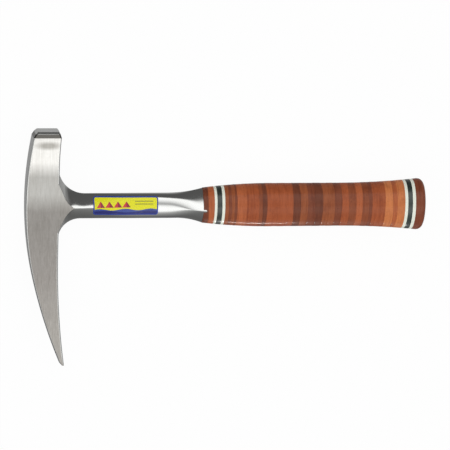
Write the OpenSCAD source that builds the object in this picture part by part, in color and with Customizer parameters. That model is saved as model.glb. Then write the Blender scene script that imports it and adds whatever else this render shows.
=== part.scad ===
// Rock hammer: a one-piece steel forging with a grip of stacked leather washers.
// It lies on its side: +X runs along the handle to the butt, +Y points to the striking face, and +Z is up.
// The modules work in the hammer's own lines: x from the crown of the head, y from the handle's centre
// line, z from the middle plane. placed() then sets the origin under the middle of the bounding box.

/* [Overall] */
// Length from the crown of the head to the butt
overall_len = 330; // [320:1:345]
// Reach of the striking face from the handle's centre line
poll_reach = 62.3; // [56:0.1:68]
// Reach of the pick's point from the handle's centre line
pick_reach = 134.3; // [120:0.1:140]

/* [Head] */
// Thickness across the flat cheeks at the poll
cheek_t = 22; // [20:0.5:24]
// Thickness at the pick's point
point_t = 2.4; // [2:0.2:4]
// Width left at the pick's point
point_w = 1.6; // [1.2:0.2:3]
// Height on the poll where the cheeks start to draw in
taper_start = 30; // [20:1:36]
// Radius of the crown's curve over the poll
crown_r_poll = 296; // [260:2:320]
// Radius of the crown's curve over the root of the pick
crown_r_pick = 271; // [250:1:300]
// Where that curve opens, below the handle's centre line
crown_bend = 57; // [40:1:70]
// Radius of the crown's curve from there to the point
crown_r_point = 431; // [380:1:500]
// Length of the blunting on the crown side of the point
point_blunt = 3; // [1:0.5:5]
// Distance from the crown line to the head's underside
head_depth = 26.9; // [25:0.1:28]
// Radius of the hollow curve along the pick's underside
belly_r = 685; // [600:5:750]
// Where that curve starts, below the handle's centre line
belly_start = 39.5; // [35:0.5:50]
// Radius on the head's long edges
edge_r = 1.6; // [0.8:0.2:2.4]
// Inset of the bevel round the striking face
face_bevel = 2.6; // [1.5:0.1:3]
// Length of that bevel
bevel_len = 4.7; // [3:0.1:6]
// Widening of the poll's underside at the striking face
poll_flare = 1.9; // [0:0.1:2.5]

/* [Shank] */
// Height of the shank, along the head's direction
shank_h = 20.8; // [18:0.1:22]
// Thickness of the shank
shank_t = 12; // [10:0.2:14]
// Radius from the poll's underside into the shank
web_top_r = 21.6; // [18:0.1:24]
// Radius from the pick's underside into the shank
web_bottom_r = 17.9; // [14:0.1:20]
// Where the shank starts to thicken into a ridge towards the head
ridge_start = 92; // [85:1:100]
// Where that thickening is complete, inside the head
ridge_end = 24; // [20:1:26]
// How far it rises
ridge_rise = 4.3; // [3:0.05:5]
// Where the ridge also starts to sweep up into the cheeks
sweep_start = 41; // [39:1:46]
// Radius of that sweep
sweep_r = 11.5; // [10:0.5:18]
// Where the shank starts to widen towards the grip
guard_start = 115; // [112:1:118]
// Where the steel ends and the grip starts
guard_x = 144.6; // [142:0.2:148]

/* [Grip] */
// Height of the grip at its waist
waist_h = 36; // [33:0.2:38]
// Grip thickness as a part of its height
grip_ratio = 0.78; // [0.72:0.02:0.84]
// Where the waist starts
waist_start = 200; // [190:1:210]
// Where the waist ends
waist_end = 258; // [250:1:265]
// Height lost from the waist to the guard
guard_drop = 7; // [5:0.2:8]
// Height gained from the waist to the butt
butt_gain = 8; // [6:0.2:9]
// Edge radius of the last washer
butt_r = 5; // [4:0.5:5]
// Radius of the grip section's ends as a part of its half thickness
end_arc = 0.8; // [0.7:0.02:0.9]
// Thickness of each main leather washer, head end first
grip_washers = [
    3, 2.5, 2.5, 2, 5.5, 2.5, 6, 4,
    3, 3.5, 6, 4.5, 6, 5.5, 6, 6,
    6, 6.5, 5, 5, 6, 6, 6, 5.5,
    5, 3, 3, 4, 4, 6.5, 3.5, 6.5
];
// Shade of each main leather washer: 0 is dark, 1 brown, 2 chestnut and 3 tan
grip_shades = [
    2, 1, 2, 1, 3, 3, 2, 2,
    1, 0, 2, 2, 2, 2, 0, 2,
    1, 0, 2, 2, 1, 2, 1, 3,
    1, 1, 2, 2, 2, 3, 3, 3
];
// Thickness of the two leather washers next to the guard
front_washers = [4, 4.9];
// Thickness of the white, dark and white spacers at the head end
front_spacers = [2.1, 4.1, 2.3];
// Thickness of the white, dark and white spacers at the butt end
rear_spacers = [2.4, 3.9, 2.6];

/* [Tang and butt] */
// Height of the tang
tang_h = 14; // [12:0.5:18]
// Thickness of the tang
tang_t = 6.5; // [5:0.5:9]
// Length of the tang buried in the guard
tang_root = 6; // [3:1:8]
// Height of the butt plate
plate_h = 26; // [22:0.5:28]
// Thickness of the butt plate
plate_t = 1.6; // [1.2:0.2:2.4]

/* [Label] */
// Length of the label
label_len = 53; // [40:1:56]
// Height of the label, measured flat
label_h = 15; // [10:0.5:16]
// Where the label starts
label_x = 54.7; // [50:0.1:60]
// How far its middle is above the shank's centre line
label_y = 1; // [-1:0.1:1.5]
// Thickness of the label
label_t = 0.25; // [0.2:0.05:0.5]

/* [Hidden] */
$fn = 96;
steel = [0.72, 0.71, 0.69];
plate_steel = [0.55, 0.55, 0.54];
leather_shades = [[0.43, 0.25, 0.19], [0.5, 0.3, 0.22], [0.59, 0.33, 0.22], [0.7, 0.41, 0.27]];
white_fibre = [0.92, 0.93, 0.87];
dark_fibre = [0.1, 0.13, 0.11];
label_yellow = [0.9, 0.88, 0.1];
spacer_colours = [white_fibre, dark_fibre, white_fibre];
spacer_letters = ["a", "b", "c"];

// Slices along the head, the webs, the ridge and the guard
head_slices = 34;
web_slices = 14;
ridge_slices = 10;
guard_slices = 11;
// Points round a shank section, and round one corner of a head section
section_points = 48;
corner_points = 4;
// A slice is a sheet this thick
sheet = 0.2;
// The webs' flat faces sit this far below the cheeks
cheek_step = 0.04;
// Roundness of the shank's section across its height and its thickness, where 2 is an ellipse
shank_power_y = 2.4;
shank_power_z = 2.2;
// The section draws to a soft ridge where it meets the cheeks, a little sooner than it thickens
ridge_power = 1.2;
ridge_lead = 1.8;
// It draws to a ridge again half way along the guard's flare, by this much less of each power
guard_ridge_y = 1.05;
guard_ridge_z = 0.5;
// How fast the guard's thickness grows, where 1 is a straight line
guard_power_z = 1.6;
// Where the thinner part of the guard's flare and its lower edge start
guard_start_z = guard_start - 17;
guard_start_low = guard_start + 7;
// How much the point's blunting takes off the crown
blunt_part = 0.7;
// Cells along and across the label, and its clearance over the steel
label_cols = 20;
label_rows = 14;
label_gap = 0.03;
// The bevel round the striking face is a curve through this point of its length and its inset
bevel_mid = [0.62, 0.46];
// Corners on a head section are never rounder than this part of its width and its half thickness
corner_of_width = 0.45;
corner_of_half = 0.9;

// Sum of the first n values of a list
function total(list, n) = n <= 0 ? 0 : list[n - 1] + total(list, n - 1);
function total_all(list) = total(list, len(list));

front_x = guard_x;
front_spacer_x = front_x + total_all(front_washers);
grip_x = front_spacer_x + total_all(front_spacers);
rear_spacer_x = grip_x + total_all(grip_washers);
butt_x = rear_spacer_x + total_all(rear_spacers);
plate_x = overall_len - plate_t;
butt_washer_t = (plate_x - butt_x) / 2;
butt_mid_x = overall_len - butt_r;

function two_digits(n) = n < 10 ? str("0", n) : str(n);
function grip_name(i) = str("grip_washer_", two_digits(i + 1));

// Rise of a round fillet of radius r, a distance d into it
function arc_rise(d, r) = d <= 0 ? 0 : r - sqrt(r * r - min(d, r) * min(d, r));
// A number kept between 0 and 1, and a smooth step from 0 to 1
function clamped(t) = max(0, min(1, t));
function ease(t) = clamped(t) * clamped(t) * (3 - 2 * clamped(t));
function blend(a, b, t) = a + (b - a) * t;
function signed_power(v, p) = sign(v) * pow(abs(v), p);

// Half the grip's height at x: a waist that narrows to the guard and swells to the butt
function grip_half_h(x) = waist_h / 2
    - guard_drop / 2 * pow(max(0, waist_start - x) / (waist_start - guard_x), 2)
    + butt_gain / 2 * pow(max(0, x - waist_end) / (overall_len - waist_end), 2);

// The head's lines, as functions of y: its crown, its underside and the height of its cheeks
bend_a = asin(crown_bend / crown_r_pick);
function open_arc(d) =
    arc_rise(crown_bend, crown_r_pick)
    + crown_r_point * (cos(bend_a) - cos(asin(sin(bend_a) + (d - crown_bend) / crown_r_point)));
function pick_crown(d) = d < crown_bend ? arc_rise(d, crown_r_pick) :
    open_arc(d) + blunt_part * arc_rise(d - pick_reach + point_blunt, point_blunt);
function crown_x(y) = y > 0 ? arc_rise(y, crown_r_poll) : pick_crown(-y);
function belly_x(y) =
    head_depth
    + arc_rise(-y - belly_start, belly_r)
    + poll_flare * pow(clamped((y - taper_start) / (poll_reach - taper_start)), 2);
head_taper = (cheek_t - point_t) / 2 / (pick_reach + taper_start / 2);
function cheek_z(y) = cheek_t / 2 - (y > taper_start ? 0 :
    y > 0 ? head_taper * pow(taper_start - y, 2) / taper_start / 2 :
    head_taper * (taper_start / 2 - y));

// A rounded rectangle from [x0, z0] to [x1, z1]
function corner(cx, cz, r, start) =
    [for (i = [0:corner_points]) [
        cx + r * cos(start + 90 * i / corner_points),
        cz + r * sin(start + 90 * i / corner_points)
    ]];
function rounded_box(x0, x1, half_t, r) = concat(
    corner(x1 - r, half_t - r, r, 0),
    corner(x0 + r, half_t - r, r, 90),
    corner(x0 + r, r - half_t, r, 180),
    corner(x1 - r, r - half_t, r, 270)
);

// One sheet across the head at height y, drawn in by an inset
module head_sheet(y, inset = 0) {
    x1 = belly_x(y) - inset;
    x0 = min(crown_x(y) + inset, x1 - point_w);
    half_t = cheek_z(y) - inset;
    r = min(edge_r, (x1 - x0) * corner_of_width, half_t * corner_of_half);
    translate([0, y, 0])
        rotate([90, 0, 0])
            linear_extrude(sheet)
                polygon(rounded_box(x0, x1, half_t, r));
}

module head_bar() {
    low = -pick_reach + sheet;
    high = poll_reach - bevel_len;
    step = (high - low) / head_slices;
    for (i = [0:head_slices - 1])
        hull() {
            head_sheet(low + step * i);
            head_sheet(low + step * (i + 1));
        }
    hull() {
        head_sheet(high);
        head_sheet(high + bevel_len * bevel_mid[0], face_bevel * bevel_mid[1]);
        head_sheet(poll_reach, face_bevel);
    }
}

// The shank's lines, as functions of x: its heights above and below the centre line, its half
// thickness, and how round its section is
web_top_x = head_depth + web_top_r;
web_bottom_x = head_depth + web_bottom_r;
function ridge_t(x) = (ridge_start - x) / (ridge_start - ridge_end);
guard_rise = grip_half_h(guard_x) - shank_h / 2;
guard_rise_z = grip_half_h(guard_x) * grip_ratio - shank_t / 2;
function guard_part(x, start) = clamped((x - start) / (guard_x - start));
function guard_y(x, start) = guard_rise * pow(guard_part(x, start), 2);
function guard_z(x) = guard_rise_z * pow(guard_part(x, guard_start_z), guard_power_z);
function up_h(x) = shank_h / 2 + arc_rise(web_top_x - x, web_top_r) + guard_y(x, guard_start);
function down_h(x) = shank_h / 2 + arc_rise(web_bottom_x - x, web_bottom_r) + guard_y(x, guard_start_low);
function half_t(x) = shank_t / 2 + ridge_rise * ease(ridge_t(x)) + arc_rise(sweep_start - x, sweep_r) + guard_z(x);
function section_power(x, plain, dip) =
    blend(blend(plain, ridge_power, ease(ridge_t(x) * ridge_lead)), 2, guard_part(x, guard_start))
    - dip * sin(180 * guard_part(x, guard_start));
function power_y(x) = section_power(x, shank_power_y, guard_ridge_y);
function power_z(x) = section_power(x, shank_power_z, guard_ridge_z);

function section_point(x, a) = [
    signed_power(cos(a), 2 / power_y(x)) * (cos(a) > 0 ? up_h(x) : down_h(x)),
    signed_power(sin(a), 2 / power_z(x)) * half_t(x)
];

// One sheet across the shank at x
module shank_sheet(x) {
    translate([x, 0, 0])
        rotate([90, 0, 90])
            linear_extrude(sheet)
                polygon([for (i = [0:section_points - 1]) section_point(x, 360 * (i + 0.5) / section_points)]);
}

module shank_run(stations) {
    for (i = [0:len(stations) - 2])
        hull() {
            shank_sheet(stations[i]);
            shank_sheet(stations[i + 1]);
        }
}

// The webs open faster close to the head, so their slices follow the fillet's angle
web_stations = concat(
    [ridge_end],
    [for (i = [0.5:web_slices - 0.5]) web_top_x - web_top_r * sin(90 * (1 - i / web_slices))],
    [for (i = [1:ridge_slices]) blend(web_top_x, ridge_start, i / ridge_slices)]
);
guard_stations = [for (i = [0:guard_slices]) blend(guard_start_z, guard_x - sheet, i / guard_slices)];

// The space between the two cheeks, over the height of the webs
module cheek_space() {
    steps = 12;
    ys = [for (i = [0:steps]) blend(-head_depth * 2, poll_reach, i / steps)];
    upper = [for (y = ys) [y, cheek_z(y) - cheek_step]];
    lower = [for (i = [steps:-1:0]) [ys[i], cheek_step - cheek_z(ys[i])]];
    rotate([90, 0, 90])
        linear_extrude(ridge_start + 1)
            polygon(concat(upper, lower));
}

// Moves the hammer from its own lines to the part's frame
module placed() {
    grip_t = 2 * grip_ratio * grip_half_h(butt_mid_x);
    translate([-overall_len / 2, (pick_reach - poll_reach) / 2, grip_t / 2])
        children();
}

module forging() {
    color(steel)
        placed()
            union() {
                head_bar();
                intersection() {
                    shank_run(web_stations);
                    cheek_space();
                }
                shank_run(concat([ridge_start], guard_stations));
                translate([guard_x - tang_root, -tang_h / 2, -tang_t / 2])
                    cube([overall_len - guard_x + tang_root, tang_h, tang_t]);
            }
}

// An oval of four arcs, 2 * a long and 2 * b high
module oval(a, b) {
    end_r = b * end_arc;
    end_c = a - end_r;
    side_r = (end_c * end_c + b * b - end_r * end_r) / 2 / (b - end_r);
    side_c = side_r - b;
    join_x = end_c + end_r * end_c / norm([end_c, side_c]);
    union() {
        intersection() {
            translate([0, -side_c])
                circle(side_r, $fn = 360);
            translate([0, side_c])
                circle(side_r, $fn = 360);
            square([2 * join_x, 3 * b], center = true);
        }
        for (side = [-1, 1])
            translate([side * end_c, 0])
                circle(end_r);
    }
}

// A solid of the grip's oval section from x0, t thick; the section is the one at its middle
module grip_solid(x0, t, half_h) {
    translate([x0, 0, 0])
        rotate([90, 0, 90])
            linear_extrude(t)
                oval(half_h, half_h * grip_ratio);
}

// The slot that the tang fills, through anything from x0, t thick
module tang_slot(x0, t) {
    translate([x0 - 1, -tang_h / 2, -tang_t / 2])
        cube([t + 2, tang_h, tang_t]);
}

// One slice of the grip: a leather washer or a fibre spacer
module grip_slice(x0, t, colour) {
    color(colour)
        placed()
            difference() {
                grip_solid(x0, t, grip_half_h(x0 + t / 2));
                tang_slot(x0, t);
            }
}

// The last washer steps in towards the butt, as its edge is rounded, and the plate lies flush in it
module butt_washer_2() {
    x0 = butt_x + butt_washer_t;
    last_t = overall_len - x0;
    steps = 5;
    step_t = butt_r / steps;
    flat_t = last_t - butt_r;
    color(leather_shades[1])
        placed()
            difference() {
                union() {
                    grip_solid(x0, flat_t, grip_half_h(butt_mid_x));
                    for (i = [0:steps - 1])
                        grip_solid(x0 + flat_t + i * step_t, step_t,
                            grip_half_h(butt_mid_x) - arc_rise((i + 0.5) * step_t, butt_r));
                }
                tang_slot(x0, last_t);
                grip_solid(plate_x, plate_t + 1, plate_h / 2);
            }
}

module butt_plate() {
    color(plate_steel)
        placed()
            difference() {
                grip_solid(plate_x, plate_t, plate_h / 2);
                tang_slot(plate_x, plate_t);
            }
}

// Height of the shank's face above the middle plane at x and y
function face_z(x, y) =
    half_t(x) * pow(1 - pow(abs(y) / (y > 0 ? up_h(x) : down_h(x)), power_y(x)), 1 / power_z(x));

// The label is a grid of points on the shank's face, and the same grid a label's thickness above it
function label_point(i, j, rise) =
    let (x = label_x + label_len * i / label_cols, y = label_y + label_h * (j / label_rows - 0.5))
    [x, y, face_z(x, y) + label_gap + rise];
function label_index(i, j, layer) = (layer * (label_cols + 1) + i) * (label_rows + 1) + j;
function two_triangles(a, b, c, d) = [[a, b, c], [a, c, d]];
function label_cell(i, j, layer) = two_triangles(
    label_index(i, j, layer),
    label_index(layer == 1 ? i : i + 1, layer == 1 ? j + 1 : j, layer),
    label_index(i + 1, j + 1, layer),
    label_index(layer == 1 ? i + 1 : i, layer == 1 ? j : j + 1, layer));
function label_wall(i0, j0, i1, j1) = two_triangles(
    label_index(i0, j0, 0), label_index(i0, j0, 1), label_index(i1, j1, 1), label_index(i1, j1, 0));

module label() {
    cols = label_cols;
    rows = label_rows;
    points = [for (rise = [0, label_t]) for (i = [0:cols]) for (j = [0:rows]) label_point(i, j, rise)];
    cells = [for (layer = [0, 1]) for (i = [0:cols - 1]) for (j = [0:rows - 1])
        each label_cell(i, j, layer)];
    long_walls = [for (i = [0:cols - 1]) each concat(
        label_wall(i, 0, i + 1, 0), label_wall(i + 1, rows, i, rows))];
    short_walls = [for (j = [0:rows - 1]) each concat(
        label_wall(0, j + 1, 0, j), label_wall(cols, j, cols, j + 1))];
    color(label_yellow)
        placed()
            polyhedron(points, concat(cells, long_walls, short_walls));
}

forging();
label();
butt_plate();
for (i = [0:1])
    grip_slice(front_x + total(front_washers, i), front_washers[i], leather_shades[1 + i]);
for (i = [0:2])
    grip_slice(front_spacer_x + total(front_spacers, i), front_spacers[i], spacer_colours[i]);
for (i = [0:len(grip_washers) - 1])
    grip_slice(grip_x + total(grip_washers, i), grip_washers[i], leather_shades[grip_shades[i]]);
for (i = [0:2])
    grip_slice(rear_spacer_x + total(rear_spacers, i), rear_spacers[i], spacer_colours[i]);
grip_slice(butt_x, butt_washer_t, leather_shades[1]);  // butt_washer_1
butt_washer_2();
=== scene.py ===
import math

import bmesh
import bpy
from mathutils import Matrix, Vector


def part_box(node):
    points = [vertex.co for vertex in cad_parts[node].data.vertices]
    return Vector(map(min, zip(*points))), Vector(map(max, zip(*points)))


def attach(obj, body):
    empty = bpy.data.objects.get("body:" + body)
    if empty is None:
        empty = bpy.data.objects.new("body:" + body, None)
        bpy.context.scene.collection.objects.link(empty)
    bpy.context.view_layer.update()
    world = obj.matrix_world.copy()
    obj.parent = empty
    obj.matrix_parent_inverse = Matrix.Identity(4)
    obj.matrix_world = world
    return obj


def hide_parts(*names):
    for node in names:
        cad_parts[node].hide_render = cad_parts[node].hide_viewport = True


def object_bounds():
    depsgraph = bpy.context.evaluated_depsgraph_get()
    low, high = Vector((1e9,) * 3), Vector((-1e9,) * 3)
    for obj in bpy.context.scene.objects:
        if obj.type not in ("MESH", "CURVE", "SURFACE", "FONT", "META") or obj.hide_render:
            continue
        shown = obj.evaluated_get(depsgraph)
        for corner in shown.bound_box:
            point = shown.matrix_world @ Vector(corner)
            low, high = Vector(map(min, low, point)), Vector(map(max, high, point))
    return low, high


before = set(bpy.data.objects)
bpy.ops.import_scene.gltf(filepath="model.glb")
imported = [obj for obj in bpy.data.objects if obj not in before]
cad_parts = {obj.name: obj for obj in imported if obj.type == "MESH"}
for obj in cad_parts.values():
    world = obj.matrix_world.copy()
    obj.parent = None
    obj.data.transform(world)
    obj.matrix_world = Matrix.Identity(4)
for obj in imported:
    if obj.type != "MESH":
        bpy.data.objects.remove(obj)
cadLow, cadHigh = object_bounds()
mm = 0.001
print("frame loaded")

# The hammer's own lines, in mm: x from the crown of the head, y from the handle's
# centre line towards the striking face, z from the middle plane.
gripLow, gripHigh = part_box("grip_washer_16")
origin = Vector((cadHigh.x - 330 * mm, (gripLow.y + gripHigh.y) / 2, (gripLow.z + gripHigh.z) / 2))


def place(x, y, z):
    return origin + Vector((x, y, z)) * mm


def lines(point):
    return (Vector(point) - origin) / mm  # back from the frame to the hammer's own lines


def clamped(t):
    return max(0.0, min(1.0, t))


def ease(t):
    return clamped(t) ** 2 * (3 - 2 * clamped(t))


def between(a, b, t):
    return a + (b - a) * t


def filletRise(depth, radius):
    return 0 if depth <= 0 else radius - math.sqrt(radius**2 - min(depth, radius) ** 2)


# Modelling helpers

def selectNothing():
    if bpy.context.object and bpy.context.object.mode != "OBJECT":
        bpy.ops.object.mode_set(mode="OBJECT")
    bpy.ops.object.select_all(action="DESELECT")


def openMesh(piece, selectMode="FACE"):
    bpy.ops.object.mode_set(mode="EDIT")
    bpy.ops.mesh.select_mode(type=selectMode)
    bpy.ops.mesh.select_all(action="DESELECT")
    return bmesh.from_edit_mesh(piece.data)


def applyModifier(piece, kind, **settings):
    modifier = piece.modifiers.new(kind.title(), kind)
    for name, value in settings.items():
        setattr(modifier, name, value)
    bpy.ops.object.modifier_apply(modifier=modifier.name)


def takeCopy(model, name):
    selectNothing()
    model.select_set(True)
    bpy.context.view_layer.objects.active = model
    bpy.ops.object.duplicate(linked=False)
    piece = bpy.context.object
    piece.name = name
    piece.data.name = name
    return piece


def addBar(name, sides, cuts):
    # a unit bar along its z, with the given sides, cut across into equal lengths
    selectNothing()
    bpy.ops.mesh.primitive_cylinder_add(vertices=sides, radius=1, depth=1, end_fill_type="NGON")
    bar = bpy.context.object
    bar.name = name
    bar.data.name = name
    mesh = openMesh(bar, "EDGE")
    for edge in mesh.edges:
        edge.select_set(abs(edge.verts[0].co.z - edge.verts[1].co.z) > 0.5)
    bmesh.update_edit_mesh(bar.data)
    bpy.ops.mesh.subdivide(number_cuts=cuts)
    bpy.ops.object.mode_set(mode="OBJECT")
    return bar


def ringPlace(vertex, sides, cuts):
    # which side and which cut a bar's vertex is on
    turn = math.atan2(vertex.co.y, vertex.co.x) / (2 * math.pi) * sides
    return round(turn) % sides, round((vertex.co.z + 0.5) * (cuts + 1))


def fixNormals(piece):
    bpy.ops.object.mode_set(mode="EDIT")
    bpy.ops.mesh.select_all(action="SELECT")
    bpy.ops.mesh.normals_make_consistent(inside=False)
    bpy.ops.object.mode_set(mode="OBJECT")


def finishPiece(piece, material, smoothAngle=40):
    selectNothing()
    piece.select_set(True)
    bpy.context.view_layer.objects.active = piece
    bpy.ops.object.transform_apply(location=True, rotation=True, scale=True)
    bpy.ops.object.shade_smooth_by_angle(angle=math.radians(smoothAngle))
    piece.data.materials.clear()
    piece.data.materials.append(material)
    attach(piece, "root")


# Material helpers

def colour(hexCode):
    # sRGB hex to linear
    parts = [int(hexCode[i : i + 2], 16) / 255 for i in (1, 3, 5)]
    return tuple(c / 12.92 if c <= 0.04045 else ((c + 0.055) / 1.055) ** 2.4 for c in parts) + (1.0,)


def newMaterial(name):
    material = bpy.data.materials.new(name)
    material.use_nodes = True
    return material, material.node_tree, material.node_tree.nodes["Principled BSDF"]


def addNode(tree, kind, values=None, links=None, **settings):
    node = tree.nodes.new(kind)
    for name, value in settings.items():
        setattr(node, name, value)
    for name, value in (values or {}).items():
        node.inputs[name].default_value = value
    for name, source in (links or {}).items():
        tree.links.new(source, node.inputs[name])
    return node


def grainNoise(tree, size, detail=4, roughness=0.55, offset=(0, 0, 0)):
    # noise on Object coordinates, whose grain has the given size in mm along x, y and z
    spot = addNode(tree, "ShaderNodeTexCoord").outputs["Object"]
    scaled = addNode(
        tree, "ShaderNodeMapping", {"Scale": [1000 / s for s in size], "Location": offset}, {"Vector": spot})
    noise = addNode(
        tree, "ShaderNodeTexNoise",
        {"Scale": 1.0, "Detail": detail, "Roughness": roughness}, {"Vector": scaled.outputs[0]})
    return noise.outputs["Fac"]


def remap(tree, source, low, high, toLow=0.0, toHigh=1.0):
    ranged = addNode(
        tree, "ShaderNodeMapRange",
        {"From Min": low, "From Max": high, "To Min": toLow, "To Max": toHigh}, {"Value": source})
    return ranged.outputs["Result"]


def mixColours(tree, blend, factor, first, second):
    mix = tree.nodes.new("ShaderNodeMix")
    mix.data_type = "RGBA"
    mix.blend_type = blend
    for index, value in ((0, factor), (6, first), (7, second)):
        if isinstance(value, bpy.types.NodeSocket):
            tree.links.new(value, mix.inputs[index])
        else:
            mix.inputs[index].default_value = value
    return mix.outputs[2]


def alongLine(tree, axis, start, end):
    # 0 to 1 between two places on one of the hammer's own lines, in mm
    spot = addNode(tree, "ShaderNodeTexCoord").outputs["Object"]
    split = addNode(tree, "ShaderNodeSeparateXYZ", links={"Vector": spot})
    zero = origin["XYZ".index(axis)]
    return remap(tree, split.outputs[axis], zero + start * mm, zero + end * mm)


def calculate(tree, operation, *values):
    node = addNode(tree, "ShaderNodeMath", operation=operation)
    for index, value in enumerate(values):
        if isinstance(value, bpy.types.NodeSocket):
            tree.links.new(value, node.inputs[index])
        else:
            node.inputs[index].default_value = value
    return node.outputs[0]


def setStops(ramp, stops):
    # each stop is a place from 0 to 1 and a colour
    elements = ramp.color_ramp.elements
    for index, (spot, tone) in enumerate(stops):
        element = elements[index] if index < 2 else elements.new(spot)
        element.position = spot
        element.color = tone


# Camera: from above, leaning towards the head and the striking face

cameraView = {
    "target": (164.39, -16.92, 0),  # mm, in the hammer's own lines
    "distance": 1800,
    "leanToHead": 10,  # degrees
    "leanToPoll": 13,
    "roll": 0.454,
    "width": 369.5,  # mm seen across at the target
    "sensor": 36,
}


def makeCamera(view):
    toHead, toPoll = (math.tan(math.radians(view[lean])) for lean in ("leanToHead", "leanToPoll"))
    back = Vector((-toHead, toPoll, 1))
    back.normalize()
    right = (Vector((1, 0, 0)) - back * back.x).normalized()
    up = back.cross(right)
    turn = Matrix((right, up, back)).transposed() @ Matrix.Rotation(-math.radians(view["roll"]), 3, "Z")
    spot = place(*view["target"]) + back * view["distance"] * mm
    bpy.ops.object.camera_add(location=spot, rotation=turn.to_euler())
    camera = bpy.context.object
    camera.data.sensor_width = view["sensor"]
    camera.data.lens = view["sensor"] * view["distance"] / view["width"]
    camera.data.clip_end = 20
    bpy.context.scene.camera = camera


makeCamera(cameraView)
print("camera made")

# Studio: two long softboxes over the handle with a gap between them, set in the surroundings,
# and a low strip beside the grip

skyTones = [
    # degrees from straight up, round the handle towards the poll; brightness
    (-180, 0.4), (-165, 0.34), (-140, 0.22), (-107, 0.16), (-90, 0.2), (-77, 0.26), (-65, 0.33), (-52, 0.45),
    (-44, 0.6), (-38, 0.85), (-33, 1.3), (-29, 1.6), (-13, 1.65), (-8, 1.2), (-3, 0.64), (3, 0.62), (14, 1.1),
    (28, 1.48), (44, 1.62), (49, 1.5), (52, 0.5), (55, 0.13), (95, 0.12), (118, 0.16), (140, 0.4), (162, 0.5),
    (180, 0.4),
]
endTone = 0.4  # in line with the handle
lowStrip = {
    "angle": -97,  # degrees round the handle
    "distance": 700,  # mm from the handle
    "x": 290,
    "length": 120,
    "height": 50,
    "power": 60,
}
lacquered = bpy.data.collections.new("lacquered")  # the pieces that the strip lights


def makeStrip(plan):
    angle = math.radians(plan["angle"])
    towards = Vector((0, math.sin(angle), math.cos(angle)))
    spot = place(plan["x"], 0, 0) + towards * plan["distance"] * mm
    bpy.ops.object.light_add(type="AREA", location=spot, rotation=(-angle, 0, 0))
    light = bpy.context.object
    light.name = "lowStrip"
    light.data.shape = "RECTANGLE"
    light.data.size = plan["length"] * mm
    light.data.size_y = plan["height"] * mm
    area = light.data.size * light.data.size_y
    light.data.energy = plan["power"] * area * math.pi  # power is the brightness of its face
    light.visible_camera = False
    light.light_linking.receiver_collection = lacquered  # flagged off the steel


def makeWorld(tones):
    world = bpy.data.worlds.new("studio")
    bpy.context.scene.world = world
    world.use_nodes = True
    tree = world.node_tree
    tree.nodes.clear()
    direction = addNode(tree, "ShaderNodeTexCoord").outputs["Generated"]
    split = addNode(tree, "ShaderNodeSeparateXYZ", links={"Vector": direction})
    turn = calculate(tree, "ARCTAN2", split.outputs["Y"], split.outputs["Z"])
    ramp = addNode(tree, "ShaderNodeValToRGB", links={"Fac": remap(tree, turn, -math.pi, math.pi)})
    setStops(ramp, [(angle / 360 + 0.5, (tone, tone, tone, 1)) for angle, tone in tones])
    inLine = remap(tree, calculate(tree, "ABSOLUTE", split.outputs["X"]), 0.8, 0.96)
    tone = mixColours(tree, "MIX", inLine, ramp.outputs["Color"], (endTone, endTone, endTone, 1))
    soft = addNode(tree, "ShaderNodeBackground", {"Strength": 1.0}, {"Color": tone})
    white = addNode(tree, "ShaderNodeBackground", {"Color": (1, 1, 1, 1), "Strength": 1.0})
    seen = addNode(tree, "ShaderNodeLightPath").outputs["Is Camera Ray"]
    mix = addNode(tree, "ShaderNodeMixShader", links={0: seen, 1: soft.outputs[0], 2: white.outputs[0]})
    addNode(tree, "ShaderNodeOutputWorld", links={"Surface": mix.outputs[0]})


def makeFloor():
    # matt white paper, lit so evenly that only a trace of shadow shows
    selectNothing()
    bpy.ops.mesh.primitive_plane_add(size=6, location=(0, 0, cadLow.z - 0.0002))
    floor = bpy.context.object
    floor.name = "floor"
    material, tree, shader = newMaterial("white sweep paper")
    shader.inputs["Base Color"].default_value = (0.8, 0.8, 0.8, 1)
    shader.inputs["Roughness"].default_value = 1.0
    glow = addNode(tree, "ShaderNodeEmission", {"Color": (1, 1, 1, 1), "Strength": 1.0})
    output = tree.nodes["Material Output"]
    mix = addNode(tree, "ShaderNodeMixShader", {0: 0.96}, {1: shader.outputs[0], 2: glow.outputs[0]})
    seen = addNode(tree, "ShaderNodeLightPath").outputs["Is Camera Ray"]
    both = addNode(tree, "ShaderNodeMixShader", links={0: seen, 1: shader.outputs[0], 2: mix.outputs[0]})
    tree.links.new(both.outputs[0], output.inputs["Surface"])
    floor.data.materials.append(material)
    floor.visible_glossy = False
    floor.visible_shadow = False


makeStrip(lowStrip)
makeWorld(skyTones)
makeFloor()
bpy.context.scene.view_settings.view_transform = "Standard"
print("studio made")

# Grip outline, shared by the guard, the washers and the spacers. All sizes in mm.

gripShape = {
    "start": 144.6,
    "end": 330,
    "waistHalf": 18,
    "waistStart": 200,
    "waistEnd": 258,
    "guardDrop": 3.5,
    "buttGain": 4,
    "lastFull": 324.8,  # the stack stops growing here
    "thinness": 0.78,
    "slotHalfHeight": 7,
    "slotHalfWidth": 3.25,
}


def gripHalf(x):
    g = gripShape
    x = min(x, g["lastFull"])
    drop = g["guardDrop"] * (max(0, g["waistStart"] - x) / (g["waistStart"] - g["start"])) ** 2
    gain = g["buttGain"] * (max(0, x - g["waistEnd"]) / (g["end"] - g["waistEnd"])) ** 2
    return g["waistHalf"] - drop + gain


# Forging: head, webs, shank and guard in one piece of steel

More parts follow.
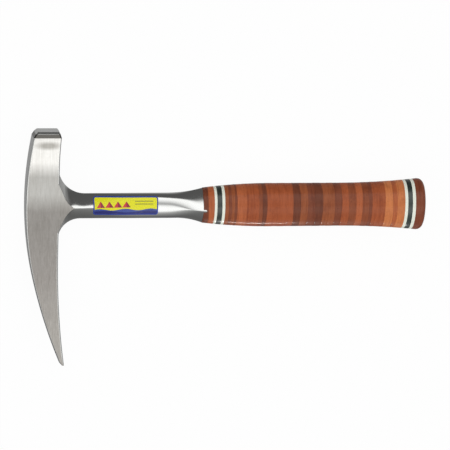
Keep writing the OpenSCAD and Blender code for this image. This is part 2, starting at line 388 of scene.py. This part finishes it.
headShape = {
    "pollReach": 62.3,
    "pickReach": 134.3,
    "halfThick": 11,
    "pointHalf": 1.2,
    "pointWidth": 1.6,
    "taperStart": 30,
    "crownPoll": 296,  # radii of the crown's curve: over the poll, the pick's root and the pick's end
    "crownPick": 271,
    "crownOpen": 431,
    "crownBend": 57,
    "blunt": 3,
    "bluntPart": 0.7,
    "depth": 26.9,
    "bellyRadius": 685,
    "bellyStart": 39.5,
    "flare": 1.9,
    "edge": 1.6,
    "bevel": 2.6,  # inset of the bevel round the striking face, its length, and where it bends
    "bevelLength": 4.7,
    "bevelBend": (0.62, 0.46),
    "cornerPoints": 9,
    "slices": 150,
    "bevelSlices": 16,
}
shankShape = {
    "halfHeight": 10.4,
    "halfThick": 6,
    "webTop": 21.6,
    "webBottom": 17.9,
    "ridgeStart": 92,
    "ridgeEnd": 24,
    "ridgeRise": 4.3,
    "ridgeLead": 1.8,
    "ridgePower": 1.2,
    "sweepStart": 41,
    "sweepRadius": 11.5,
    "guardStart": 115,
    "guardStartZ": 98,
    "guardStartLow": 122,
    "guardPowerZ": 1.6,
    "guardPower": 1.18,  # the guard draws to a ridge, so the leather stands proud of its flanks
    "guardLead": 1.1,
    "guardShift": (118, -2.6),  # where the guard's ridge starts to drop, and how far
    "power": (2.4, 2.2),
    "step": 0.006,
    "cheekEnd": 60,
    "tongue": 2.6,  # a lip of steel over the first washer, at the ridge
    "tongueHalf": 1.9,
    "tongueProud": 0.55,
    "tongueRun": 3,
    "points": 128,
    "slices": 160,
}


def openCrown(d):
    # the pick's crown past its bend, on a larger radius
    h = headShape
    bend = math.asin(h["crownBend"] / h["crownPick"])
    along = math.asin(math.sin(bend) + (d - h["crownBend"]) / h["crownOpen"])
    rise = filletRise(h["crownBend"], h["crownPick"])
    return rise + h["crownOpen"] * (math.cos(bend) - math.cos(along))


def crownX(y):
    h = headShape
    if y > 0:
        return filletRise(y, h["crownPoll"])
    if -y < h["crownBend"]:
        return filletRise(-y, h["crownPick"])
    return openCrown(-y) + h["bluntPart"] * filletRise(-y - h["pickReach"] + h["blunt"], h["blunt"])


def bellyX(y):
    h = headShape
    flare = h["flare"] * clamped((y - h["taperStart"]) / (h["pollReach"] - h["taperStart"])) ** 2
    return h["depth"] + filletRise(-y - h["bellyStart"], h["bellyRadius"]) + flare


def cheekZ(y):
    h = headShape
    taper = (h["halfThick"] - h["pointHalf"]) / (h["pickReach"] + h["taperStart"] / 2)
    if y > h["taperStart"]:
        return h["halfThick"]
    if y > 0:
        return h["halfThick"] - taper * (h["taperStart"] - y) ** 2 / h["taperStart"] / 2
    return h["halfThick"] - taper * (h["taperStart"] / 2 - y)


def headPoint(y, side, inset):
    # one point of the rounded box across the head at height y
    h = headShape
    far = bellyX(y) - inset
    near = min(crownX(y) + inset, far - h["pointWidth"])
    half = cheekZ(y) - inset
    radius = min(h["edge"], (far - near) * 0.45, half * 0.9)
    corner, step = divmod(side, h["cornerPoints"])
    turn = math.pi / 2 * (corner + step / (h["cornerPoints"] - 1))
    centreX = far - radius if corner in (0, 3) else near + radius
    centreZ = half - radius if corner in (0, 1) else radius - half
    return place(centreX + radius * math.cos(turn), y, centreZ + radius * math.sin(turn))


def makeHeadBar():
    h = headShape
    bevelStart = h["pollReach"] - h["bevelLength"]
    stations = [(between(-h["pickReach"], bevelStart, i / h["slices"]), 0) for i in range(h["slices"] + 1)]
    bendAt, bendInset = h["bevelBend"]
    for i in range(1, h["bevelSlices"] + 1):
        t = i / h["bevelSlices"]
        share = bendInset * t / bendAt if t < bendAt else between(bendInset, 1, (t - bendAt) / (1 - bendAt))
        stations.append((bevelStart + h["bevelLength"] * t, h["bevel"] * share))
    stations += [(h["pollReach"], h["bevel"] + 0.15), (h["pollReach"], h["bevel"] + 0.5)]
    sides = 4 * h["cornerPoints"]
    cuts = len(stations) - 2
    bar = addBar("forging_made", sides, cuts)
    for vertex in bar.data.vertices:
        side, cut = ringPlace(vertex, sides, cuts)
        y, inset = stations[cut]
        vertex.co = headPoint(y, side, inset)
    fixNormals(bar)
    return bar


def ridgePart(x):
    s = shankShape
    return (s["ridgeStart"] - x) / (s["ridgeStart"] - s["ridgeEnd"])


def guardPart(x, start):
    return clamped((x - start) / (gripShape["start"] - start))


def shankSizes(x):
    # height above and below the centre line, half thickness and the section's two powers
    s = shankShape
    depth = headShape["depth"]
    rise = gripHalf(gripShape["start"]) - s["halfHeight"]
    riseZ = gripHalf(gripShape["start"]) * gripShape["thinness"] - s["halfThick"]
    up = s["halfHeight"] + filletRise(depth + s["webTop"] - x, s["webTop"])
    up += rise * guardPart(x, s["guardStart"]) ** 2
    down = s["halfHeight"] + filletRise(depth + s["webBottom"] - x, s["webBottom"])
    down += rise * guardPart(x, s["guardStartLow"]) ** 2
    half = s["halfThick"] + s["ridgeRise"] * ease(ridgePart(x))
    half += filletRise(s["sweepStart"] - x, s["sweepRadius"])
    half += riseZ * guardPart(x, s["guardStartZ"]) ** s["guardPowerZ"]
    powers = []
    for plain in s["power"]:
        power = between(plain, s["ridgePower"], ease(ridgePart(x) * s["ridgeLead"]))
        powers.append(between(power, s["guardPower"], ease(guardPart(x, s["guardStart"]) * s["guardLead"])))
    return up, down, half, powers[0], powers[1]


def shankPoint(x, turn):
    up, down, half, powerY, powerZ = shankSizes(x)
    c, s = math.cos(turn), math.sin(turn)
    start, drop = shankShape["guardShift"]
    shift = drop * ease(guardPart(x, start))
    y = shift + math.copysign(abs(c) ** (2 / powerY), c) * (up - shift if c > 0 else down + shift)
    z = math.copysign(abs(s) ** (2 / powerZ), s) * half
    return x, y, z


def tonguePoint(x, y, z, last):
    # the guard's two ridges rise a little at its end, and the last section runs out over the first washer
    s = shankShape
    share = math.exp(-((y - s["guardShift"][1]) / s["tongueHalf"]) ** 2) if abs(z) > abs(y) else 0
    share *= clamped((x - gripShape["start"]) / s["tongueRun"] + 1)
    reach = x + s["tongue"] * share if last else x
    grow = (gripHalf(reach) + s["tongueProud"] * share) / gripHalf(x)
    return reach, y * grow, z * grow


def makeShankBar():
    s = shankShape
    cuts = s["slices"] - 1
    bar = addBar("shank", s["points"], cuts)
    for vertex in bar.data.vertices:
        side, cut = ringPlace(vertex, s["points"], cuts)
        x = between(s["ridgeEnd"], gripShape["start"], cut / s["slices"])
        spot = shankPoint(x, 2 * math.pi * side / s["points"])
        vertex.co = place(*tonguePoint(*spot, cut == s["slices"]))
    fixNormals(bar)
    return bar


trimSlab = {"middle": (31, 5), "half": (29, 65), "outer": 40}  # mm


def trimToCheeks(shank):
    # cut the shank's root down to the cheeks, above and below
    for side in (1, -1):
        selectNothing()
        bpy.ops.mesh.primitive_grid_add(x_subdivisions=2, y_subdivisions=60, size=2)
        slab = bpy.context.object
        bpy.ops.object.mode_set(mode="EDIT")
        bpy.ops.mesh.select_all(action="SELECT")
        bpy.ops.mesh.extrude_region_move(TRANSFORM_OT_translate={"value": (0, 0, 1)})
        bpy.ops.object.mode_set(mode="OBJECT")
        for vertex in slab.data.vertices:
            x, y = (m + h * c for m, h, c in zip(trimSlab["middle"], trimSlab["half"], vertex.co))
            z = trimSlab["outer"] if vertex.co.z > 0.5 else cheekZ(y) - shankShape["step"]
            vertex.co = place(x, y, side * z)
        fixNormals(slab)
        selectNothing()
        shank.select_set(True)
        bpy.context.view_layer.objects.active = shank
        applyModifier(shank, "BOOLEAN", operation="DIFFERENCE", object=slab, solver="EXACT")
        bpy.data.objects.remove(slab)


def cheekShare(point):
    # 1 on the flat cheeks, 0 off them
    x, y, z = lines(point)
    if x > shankShape["cheekEnd"]:
        return 0.0
    return 1 - ease((cheekZ(y) - abs(z) - 0.03) / 0.12)


tangShape = {"start": 138.6, "halfHeight": 7, "halfThick": 3.25, "edge": 0.35}


def makeTang():
    # a flat bar with eased edges, from inside the guard to the butt
    t = tangShape
    selectNothing()
    bpy.ops.mesh.primitive_cube_add(size=2)
    tang = bpy.context.object
    for vertex in tang.data.vertices:
        x = t["start"] if vertex.co.x < 0 else gripShape["end"]
        vertex.co = place(x, vertex.co.y * t["halfHeight"], vertex.co.z * t["halfThick"])
    bpy.ops.object.mode_set(mode="EDIT")
    bpy.ops.mesh.select_all(action="SELECT")
    bpy.ops.mesh.bevel(offset=t["edge"] * mm, segments=3)
    bpy.ops.object.mode_set(mode="OBJECT")
    return tang


def makeForging(material):
    head = makeHeadBar()
    shank = makeShankBar()
    trimToCheeks(shank)
    selectNothing()
    head.select_set(True)
    bpy.context.view_layer.objects.active = head
    applyModifier(head, "BOOLEAN", operation="UNION", object=shank, solver="EXACT")
    bpy.data.objects.remove(shank)
    tang = makeTang()
    selectNothing()
    tang.select_set(True)
    head.select_set(True)
    bpy.context.view_layer.objects.active = head
    bpy.ops.object.join()
    cheek = head.data.attributes.new("cheek", "FLOAT", "POINT")
    cheek.data.foreach_set("value", [cheekShare(v.co) for v in head.data.vertices])
    finishPiece(head, material, 28)
    applyModifier(head, "WEIGHTED_NORMAL", keep_sharp=True)
    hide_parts("forging")
    print("forging made,", len(head.data.polygons), "faces")


# Drop-forged carbon steel: the cheeks are belt-ground along the head, so they look satin, and the
# shank, webs and guard are buffed bright under clear lacquer.
steelFinish = {
    # ground tone down the cheeks, with a painted reflection in it: bright over the poll, darker from the
    # handle's line down the pick; mm from the handle's line towards the poll, and the tone there
    "groundTonesWithPaintedReflection": ((-108, "#a29f9a"), (-60, "#938f8b"), (-14, "#8b8884"), (-3, "#8d8a86"), (12, "#b2b1ad"),
                    (26, "#b2b1ad"), (38, "#eeede9")),
    "buffedTone": "#cfd0ce",
    "groundRoughness": 0.34,
    "buffedRoughness": 0.1,
    "headRoughness": 0.2,
    # size of the marks in mm, along x, y and z
    "streak": (1.6, 40, 1.6),
    "cloud": (14, 30, 14),
    "mottle": (1.6, 2.2, 1.6),
    "buffing": (22, 1.2, 1.2),
    "grindWidth": 0.5,  # drawn coarser than 120 grit, so that it shows
    "grindLength": 14,
    "bevelPaintedShadeTone": "#5b5955",
    "bevelPaintedShadeBand": (57.4, 57.8, 60.3, 60.7),  # painted shade, the dark part of the poll's bevel
    "paintedShadePatch": (17.5, 51.5, 9, 3),  # a painted shade, a soft darker patch on the poll: its middle and its half size
}


def groundAndBuffedSteel():
    f = steelFinish
    material, tree, shader = newMaterial("forged steel, ground and buffed")
    cheek = addNode(tree, "ShaderNodeAttribute", attribute_name="cheek").outputs["Fac"]
    grind = grainNoise(tree, (f["grindWidth"], f["grindLength"], f["grindWidth"]), 3, 0.6)
    streaks = grainNoise(tree, f["streak"], 3, 0.6, (4.4, 0, 0))
    cloud = grainNoise(tree, f["cloud"], 3, 0.5)
    mottle = grainNoise(tree, f["mottle"], 4, 0.6)
    buffing = grainNoise(tree, f["buffing"], 3, 0.5)
    first, last = f["groundTonesWithPaintedReflection"][0][0], f["groundTonesWithPaintedReflection"][-1][0]
    # the ramp paints a reflection along the cheeks: bright over the poll, dark from the handle's line down
    # the pick
    ramp = addNode(tree, "ShaderNodeValToRGB", links={"Fac": alongLine(tree, "Y", first, last)})
    setStops(ramp, [((y - first) / (last - first), colour(tone)) for y, tone in f["groundTonesWithPaintedReflection"]])
    # ground holds the ground steel's tone and grinding marks together with the painted reflection, and below,
    # a painted shade patch
    ground = ramp.outputs["Color"]
    for marks, low, high, share, tint in (
            (grind, 0.3, 0.7, 0.5, (0.8, 0.79, 0.77, 1)),
            (streaks, 0.5, 0.7, 0.4, (0.8, 0.79, 0.78, 1)),
            (mottle, 0.45, 0.75, 0.25, (0.8, 0.78, 0.76, 1))):
        ground = mixColours(tree, "MULTIPLY", remap(tree, marks, low, high, 0.0, share), ground, tint)
    # painted shade: a soft darker patch on the poll's cheek
    x, y, halfX, halfY = f["paintedShadePatch"]
    spot = addNode(tree, "ShaderNodeTexCoord").outputs["Object"]
    centred = addNode(
        tree, "ShaderNodeMapping",
        {"Location": place(x, y, 0), "Scale": (halfX * mm, halfY * mm, 1)},
        {"Vector": spot}, vector_type="TEXTURE")
    flat = addNode(
        tree, "ShaderNodeVectorMath", {1: (1, 1, 0)}, {0: centred.outputs[0]}, operation="MULTIPLY")
    away = addNode(tree, "ShaderNodeVectorMath", links={0: flat.outputs[0]}, operation="LENGTH")
    paintedShadeShare = remap(tree, away.outputs["Value"], 1.4, 0.5, 0.0, 1.0)
    ground = mixColours(tree, "MULTIPLY", paintedShadeShare, ground, (0.52, 0.51, 0.49, 1))
    tone = mixColours(tree, "MIX", cheek, colour(f["buffedTone"]), ground)
    tone = mixColours(tree, "MULTIPLY", remap(tree, cloud, 0.4, 0.75, 0.0, 0.3), tone, (0.86, 0.84, 0.81, 1))
    # painted shade on the poll's bevel: a band mixed towards a dark tone
    start, full, fade, end = f["bevelPaintedShadeBand"]
    paintedShadeBand = calculate(tree, "MINIMUM", alongLine(tree, "Y", start, full), alongLine(tree, "Y", end, fade))
    tone = mixColours(tree, "MIX", paintedShadeBand, tone, colour(f["bevelPaintedShadeTone"]))
    tree.links.new(tone, shader.inputs["Base Color"])
    polished = addNode(
        tree, "ShaderNodeMix",
        {2: f["headRoughness"], 3: f["buffedRoughness"]}, {0: alongLine(tree, "X", 27, 33)})
    groundRough = remap(tree, grind, 0.3, 0.7, f["groundRoughness"] - 0.05, f["groundRoughness"] + 0.06)
    rough = addNode(tree, "ShaderNodeMix", links={0: cheek, 2: polished.outputs[0], 3: groundRough})
    smudged = calculate(tree, "MULTIPLY_ADD", buffing, 0.04, rough.outputs[0])
    tree.links.new(smudged, shader.inputs["Roughness"])
    grooves = calculate(tree, "MULTIPLY", grind, cheek)
    fine = calculate(tree, "MULTIPLY_ADD", buffing, 0.12, grooves)
    bump = addNode(tree, "ShaderNodeBump", {"Strength": 0.06, "Distance": 0.0002}, {"Height": fine})
    tree.links.new(bump.outputs[0], shader.inputs["Normal"])
    shader.inputs["Metallic"].default_value = 1.0
    return material


makeForging(groundAndBuffedSteel())

# Label: a thin printed film on the shank's upper face, with rounded corners. It follows the steel.

labelShape = {
    "start": 54.7,
    "length": 53,
    "height": 15,
    "middle": 1,
    "corner": 2.2,
    "lift": 0.06,
    "thick": 0.2,
    "columns": 120,
    "rows": 34,
}


def faceZ(x, y):
    # height of the shank's face over the middle plane
    up, down, half, powerY, powerZ = shankSizes(x)
    return half * (1 - (abs(y) / (up if y > 0 else down)) ** powerY) ** (1 / powerZ)


def makeLabel(material):
    s = labelShape
    selectNothing()
    bpy.ops.mesh.primitive_grid_add(x_subdivisions=s["columns"], y_subdivisions=s["rows"], size=2)
    piece = bpy.context.object
    piece.name = "label_made"
    piece.data.name = "label_made"
    halfLength, halfHeight, corner = s["length"] / 2, s["height"] / 2, s["corner"]
    rims = []
    for vertex in piece.data.vertices:
        x, y = vertex.co.x * halfLength, vertex.co.y * halfHeight
        overX, overY = abs(x) - halfLength + corner, abs(y) - halfHeight + corner
        rim = min(halfLength - abs(x), halfHeight - abs(y))
        if overX > 0 and overY > 0:
            pull = max(overX, overY) / math.hypot(overX, overY)  # draws the square corner in to a round one
            x = math.copysign(halfLength - corner + overX * pull, x)
            y = math.copysign(halfHeight - corner + overY * pull, y)
            rim = corner - max(overX, overY)
        rims.append(rim)
        x, y = x + s["start"] + halfLength, y + s["middle"]
        vertex.co = place(x, y, faceZ(x, y) + s["lift"])
    rimMap = piece.data.attributes.new("rim", "FLOAT", "POINT")
    rimMap.data.foreach_set("value", rims)
    applyModifier(piece, "SOLIDIFY", thickness=s["thick"] * mm, offset=1)
    finishPiece(piece, material, 40)
    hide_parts("label")
    print("label made")


labelPrint = {
    "field": "#e2df04",
    "border": "#2b3f96",
    "farHills": "#3a4c96",
    "nearHills": "#262a72",
    "peaks": "#c8393b",
    "peaksShade": "#8f2136",
    "rule": "#6f7038",
    "borderWidth": 1.0,
    "peakRow": (2.6, 30.6, 7.0, 6.3, 5.0),  # start, end, spacing, foot and height of the peaks, in mm
    "hillRows": ((0.3, 0.7, 4.6, "farHills"), (0.17, 0.8, 2.9, "nearHills")),  # pitch, rise, height
    "rules": ((8.7, 9.3), (11.0, 11.6)),
    "ruleRun": (34, 49),
}


def printedFilm():
    p = labelPrint
    s = labelShape
    material, tree, shader = newMaterial("printed vinyl film, glossy")
    low = s["middle"] - s["height"] / 2
    alongShare = alongLine(tree, "X", s["start"], s["start"] + s["length"])
    along = calculate(tree, "MULTIPLY", alongShare, s["length"])
    up = calculate(tree, "MULTIPLY", alongLine(tree, "Y", low, low + s["height"]), s["height"])
    rim = addNode(tree, "ShaderNodeAttribute", attribute_name="rim").outputs["Fac"]
    ink = grainNoise(tree, (0.7, 0.7, 0.7), 4, 0.6)
    rub = grainNoise(tree, (7, 1.4, 3), 4, 0.6, (2.2, 0, 0))

    def under(source, edge, soft=0.07):
        return remap(tree, source, edge + soft, edge - soft)

    def within(source, start, end):
        return calculate(tree, "SUBTRACT", under(source, end), under(source, start))

    def both(first, second):
        return calculate(tree, "MULTIPLY", first, second)

    # a row of peaks, each with a shaded side
    start, end, spacing, foot, height = p["peakRow"]
    run = calculate(tree, "MODULO", calculate(tree, "SUBTRACT", along, start), spacing)
    slope = calculate(tree, "ABSOLUTE", calculate(tree, "SUBTRACT", run, spacing / 2))
    top = calculate(tree, "MULTIPLY_ADD", slope, -2 * height / spacing, foot + height)
    underSlope = both(under(calculate(tree, "SUBTRACT", up, top), 0), within(up, foot, 20))
    inPeak = both(underSlope, within(along, start, end))
    side = under(run, spacing / 2)
    peaks = mixColours(tree, "MIX", side, colour(p["peaksShade"]), colour(p["peaks"]))
    tone = mixColours(tree, "MIX", inPeak, colour(p["field"]), peaks)
    for lower, upper in p["rules"]:
        inRule = both(within(up, lower, upper), within(along, *p["ruleRun"]))
        tone = mixColours(tree, "MIX", inRule, tone, colour(p["rule"]))
    # two rows of rolling hills along the foot
    for pitch, rise, top, hill in p["hillRows"]:
        roll = calculate(tree, "SINE", calculate(tree, "MULTIPLY", along, pitch))
        level = calculate(tree, "SUBTRACT", up, calculate(tree, "MULTIPLY", roll, rise))
        tone = mixColours(tree, "MIX", under(level, top), tone, colour(p[hill]))
    tone = mixColours(tree, "MIX", under(rim, p["borderWidth"]), tone, colour(p["border"]))
    tone = mixColours(tree, "MULTIPLY", remap(tree, ink, 0.45, 0.75, 0.0, 0.3), tone, (0.82, 0.82, 0.82, 1))
    tone = mixColours(tree, "MIX", remap(tree, rub, 0.62, 0.8, 0.0, 0.3), tone, colour("#b9b8a4"))
    tree.links.new(tone, shader.inputs["Base Color"])
    tree.links.new(remap(tree, rub, 0.3, 0.8, 0.3, 0.5), shader.inputs["Roughness"])
    bump = addNode(tree, "ShaderNodeBump", {"Strength": 0.06, "Distance": 0.0002}, {"Height": rub})
    tree.links.new(bump.outputs[0], shader.inputs["Normal"])
    return material


makeLabel(printedFilm())

# Leather washers. Vegetable-tanned cow hide, cut, stacked, sanded flush and lacquered: the cut
# edge shows the hide's layers as fine lines round the grip, with pores and dye stains.

hides = {
    "umber": "#743f2b",
    "walnut": "#82462f",
    "chestnut": "#8f4d30",
    "saddle": "#9a5533",
    "russet": "#a55632",
    "tan": "#b2613a",
    "honey": "#cc7b49",
}
leatherFinish = {
    "layer": 0.45,  # thickness of a layer in the hide
    "layerRun": 11,  # how far one runs round the grip
    "pore": 0.7,
    "stain": 9,
    "roughness": 0.42,
    "coat": 0.2,
    "coatRoughness": 0.07,
}


def lacqueredLeather(name, tone):
    f = leatherFinish
    material, tree, shader = newMaterial("lacquered leather, " + name)
    layers = grainNoise(tree, (f["layer"], f["layerRun"], f["layerRun"]), 5, 0.65)
    wide = grainNoise(tree, (f["layer"] * 4, f["layerRun"] * 2, f["layerRun"] * 2), 3, 0.5, (3.1, 0, 0))
    pores = grainNoise(tree, (f["pore"], f["pore"], f["pore"]), 5, 0.7)
    stains = grainNoise(tree, (f["stain"], f["stain"], f["stain"]), 4, 0.6, (0, 7.7, 0))
    specks = grainNoise(tree, (1.1, 1.5, 1.5), 2, 0.5, (0, 0, 5.3))
    base = colour(tone)
    dark = tuple(c * k for c, k in zip(base, (0.5, 0.42, 0.4, 1)))
    light = tuple(min(1, c * k) for c, k in zip(base, (1.28, 1.32, 1.3, 1)))
    shade = mixColours(tree, "MIX", remap(tree, layers, 0.3, 0.72), dark, light)
    shade = mixColours(tree, "MIX", 0.62, shade, base)
    for marks, low, high, share, tint in (
            (wide, 0.5, 0.72, 0.55, (0.62, 0.52, 0.5, 1)),
            (stains, 0.48, 0.75, 0.7, (0.7, 0.6, 0.56, 1)),
            (pores, 0.52, 0.72, 0.5, (0.55, 0.45, 0.42, 1)),
            (specks, 0.7, 0.76, 0.8, (0.3, 0.24, 0.22, 1))):
        shade = mixColours(tree, "MULTIPLY", remap(tree, marks, low, high, 0.0, share), shade, tint)
    tree.links.new(shade, shader.inputs["Base Color"])
    rough = remap(tree, pores, 0.3, 0.75, f["roughness"] - 0.06, f["roughness"] + 0.12)
    tree.links.new(rough, shader.inputs["Roughness"])
    height = calculate(tree, "MULTIPLY_ADD", layers, 0.6, calculate(tree, "MULTIPLY", pores, -0.5))
    bump = addNode(tree, "ShaderNodeBump", {"Strength": 0.22, "Distance": 0.0002}, {"Height": height})
    tree.links.new(bump.outputs[0], shader.inputs["Normal"])
    coatBump = addNode(tree, "ShaderNodeBump", {"Strength": 0.1, "Distance": 0.0004}, {"Height": wide})
    tree.links.new(coatBump.outputs[0], shader.inputs["Coat Normal"])
    shader.inputs["Specular IOR Level"].default_value = 0.12
    shader.inputs["Coat Weight"].default_value = f["coat"]
    shader.inputs["Coat Roughness"].default_value = f["coatRoughness"]
    return material


leathers = {name: lacqueredLeather(name, tone) for name, tone in hides.items()}


def vulcanFibre(name, tone, dirt, dirtShare):
    # vulcanised fibre sheet: a dense, faintly mottled face under the same lacquer
    material, tree, shader = newMaterial(name)
    grain = grainNoise(tree, (0.9, 2.5, 2.5), 4, 0.6)
    marks = grainNoise(tree, (0.8, 1.4, 1.4), 3, 0.6, (0, 4.2, 0))
    soiled = remap(tree, grain, 0.35, 0.75, 0.0, dirtShare)
    shade = mixColours(tree, "MIX", soiled, colour(tone), colour(dirt))
    shade = mixColours(tree, "MIX", remap(tree, marks, 0.68, 0.74, 0.0, 0.5), shade, colour(dirt))
    tree.links.new(shade, shader.inputs["Base Color"])
    tree.links.new(remap(tree, grain, 0.3, 0.7, 0.3, 0.42), shader.inputs["Roughness"])
    bump = addNode(tree, "ShaderNodeBump", {"Strength": 0.1, "Distance": 0.0002}, {"Height": grain})
    tree.links.new(bump.outputs[0], shader.inputs["Normal"])
    shader.inputs["Coat Weight"].default_value = 0.5
    shader.inputs["Coat Roughness"].default_value = 0.12
    return material


whiteFibre = vulcanFibre("vulcanised fibre, white", "#e9ede0", "#c3c4ad", 0.35)
darkFibre = vulcanFibre("vulcanised fibre, dark green", "#18221d", "#3d4a42", 0.4)

washerModel = {
    "points": 112,
    "cuts": 7,
    "edgeRun": 0.3,  # the eased edge's run and its drop, in mm
    "groove": 0.1,
    "waves": (0.16, 0.1),  # how far a joint wanders, in mm
    "proud": 0.04,
}


def makeWasherModel():
    # a unit washer along z: a short bar with an inset slot bridged through it
    w = washerModel
    model = addBar("washerModel", w["points"], w["cuts"])
    mesh = openMesh(model, "FACE")
    for face in mesh.faces:
        face.select_set(abs(face.normal.z) > 0.9)
    bmesh.update_edit_mesh(model.data)
    bpy.ops.mesh.inset(thickness=0.5)
    bpy.ops.mesh.bridge_edge_loops()
    bpy.ops.object.mode_set(mode="OBJECT")
    return model


washer = makeWasherModel()
print("washer model", len(washer.data.vertices))


def faceWave(number, turn):
    # how far the joint between two washers wanders, in mm; joints against fibre are flat
    twofold, threefold = washerModel["waves"]
    return twofold * math.sin(2 * turn + number * 2.4) + threefold * math.sin(3 * turn + number * 4.1)


def slotPoint(turn):
    # a rectangle with small round corners
    g = gripShape
    c, s = math.cos(turn), math.sin(turn)
    y = math.copysign(min(1, abs(c) * 1.6) ** 0.5, c) * g["slotHalfHeight"]
    z = math.copysign(min(1, abs(s) * 1.6) ** 0.5, s) * g["slotHalfWidth"]
    return y, z


def rimStations(start, end, rounding):
    # x and drop of each ring round a slice's rim, for its eased edges or its rounded far edge
    run, groove = washerModel["edgeRun"], washerModel["groove"]
    near = [(0, groove), (0.35 * run, 0.3 * groove), (run, 0)]
    stations = [(start + x, drop) for x, drop in near]
    if rounding:
        turns = [math.pi / 2 * k / 5 for k in range(6)]
        return stations + [
            (end - rounding * (1 - math.sin(t)), rounding * (1 - math.cos(t))) for t in turns]
    stations += [(between(start + run, end - run, k / 4), 0) for k in (1, 2, 3)]
    return stations + [(end - x, drop) for x, drop in reversed(near)]


def makeSlice(node, start, end, material, waves=(0, 0), proud=0.0, rounding=0.0, half=None,
              pocket=0):
    # one washer, spacer or plate between x = start and x = end; a pocket widens the hole at its far end
    piece = takeCopy(washer, node + "_made")
    rings = washerModel["cuts"] + 1
    for vertex in piece.data.vertices:
        turn = math.atan2(vertex.co.y, vertex.co.x)
        ring = round((vertex.co.z + 0.5) * rings)
        left = start + (faceWave(waves[0], turn) if waves[0] else 0)
        right = end + (faceWave(waves[1], turn) if waves[1] else 0)
        if vertex.co.to_2d().length < 0.9:
            y, z = slotPoint(turn)
            if pocket and ring > rings / 2:
                y, z = pocket * math.cos(turn), pocket * gripShape["thinness"] * math.sin(turn)
            vertex.co = place(left if ring < rings / 2 else right, y, z)
            continue
        x, drop = rimStations(left, right, rounding)[ring]
        size = (half or gripHalf(x)) + proud
        y = (size - drop) * math.cos(turn)
        z = (size * gripShape["thinness"] - drop) * math.sin(turn)
        vertex.co = place(x, y, z)
    fixNormals(piece)
    finishPiece(piece, material, 50)
    lacquered.objects.link(piece)
    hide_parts(node)
    return piece


gripStack = {
    "frontWashers": [4, 4.9],
    "frontSpacers": [2.1, 4.1, 2.3],
    "washers": [
        3, 2.5, 2.5, 2, 5.5, 2.5, 6, 4, 3, 3.5, 6, 4.5, 6, 5.5, 6, 6,
        6, 6.5, 5, 5, 6, 6, 6, 5.5, 5, 3, 3, 4, 4, 6.5, 3.5, 6.5,
    ],
    "rearSpacers": [2.4, 3.9, 2.6],
    "buttWasher": 3.75,
    "lastWasher": 5.35,
    "buttRounding": 4.9,
    "plate": 1.6,
    "plateHalf": 13,
    "plateGap": 0.06,
    "plateRounding": 0.35,
    "hides": (
        "saddle walnut saddle walnut tan tan russet russet chestnut umber russet russet russet russet umber "
        "saddle walnut umber saddle saddle walnut russet chestnut tan chestnut walnut russet russet russet "
        "honey tan honey"
    ).split(),
}


def stackSpacers(where, x, thicknesses):
    for letter, thick in zip("abc", thicknesses):
        dark = letter == "b"
        makeSlice(f"{where}_spacer_{letter}", x, x + thick, darkFibre if dark else whiteFibre)
        x += thick
    return x


def stackGrip():
    g = gripStack
    x = gripShape["start"]
    for i, (thick, hide) in enumerate(zip(g["frontWashers"], ("umber", "tan"))):
        makeSlice(f"front_washer_{i + 1}", x, x + thick, leathers[hide],
                  ((0, 51), (51, 0))[i])
        x += thick
    x = stackSpacers("front", x, g["frontSpacers"])
    count = len(g["washers"])
    for i, (thick, hide) in enumerate(zip(g["washers"], g["hides"])):
        waves = (i, (i + 1) % count)  # the two outer joints are flat
        proud = washerModel["proud"] * (math.sin(i * 2.7) - 1)
        makeSlice(f"grip_washer_{i + 1:02d}", x, x + thick, leathers[hide], waves, proud)
        x += thick
    x = stackSpacers("rear", x, g["rearSpacers"])
    thick = g["buttWasher"]
    makeSlice("butt_washer_1", x, x + thick, leathers["walnut"], (0, 71))
    x += thick
    makeSlice("butt_washer_2", x, x + g["lastWasher"], leathers["walnut"], (71, 0),
              rounding=g["buttRounding"], pocket=g["plateHalf"])
    return x + thick


def groundPlate():
    # mild steel, wire-brushed after riveting
    material, tree, shader = newMaterial("mild steel, wire-brushed")
    brushing = grainNoise(tree, (3, 0.35, 9), 4, 0.6)
    cloud = grainNoise(tree, (6, 6, 6), 3, 0.5)
    shade = mixColours(tree, "MIX", remap(tree, brushing, 0.3, 0.7), colour("#8d8c88"), colour("#b9b8b4"))
    shade = mixColours(tree, "MULTIPLY", remap(tree, cloud, 0.45, 0.75, 0.0, 0.5), shade, (0.7, 0.66, 0.6, 1))
    tree.links.new(shade, shader.inputs["Base Color"])
    tree.links.new(remap(tree, brushing, 0.3, 0.7, 0.28, 0.42), shader.inputs["Roughness"])
    bump = addNode(tree, "ShaderNodeBump", {"Strength": 0.2, "Distance": 0.0002}, {"Height": brushing})
    tree.links.new(bump.outputs[0], shader.inputs["Normal"])
    shader.inputs["Metallic"].default_value = 1.0
    return material


plateStart = stackGrip()
print("grip stacked to", round(plateStart, 2))
makeSlice("butt_plate", plateStart, plateStart + gripStack["plate"], groundPlate(),
          rounding=gripStack["plateRounding"], half=gripStack["plateHalf"] - gripStack["plateGap"])
print("butt plate made")

bpy.data.objects.remove(washer)
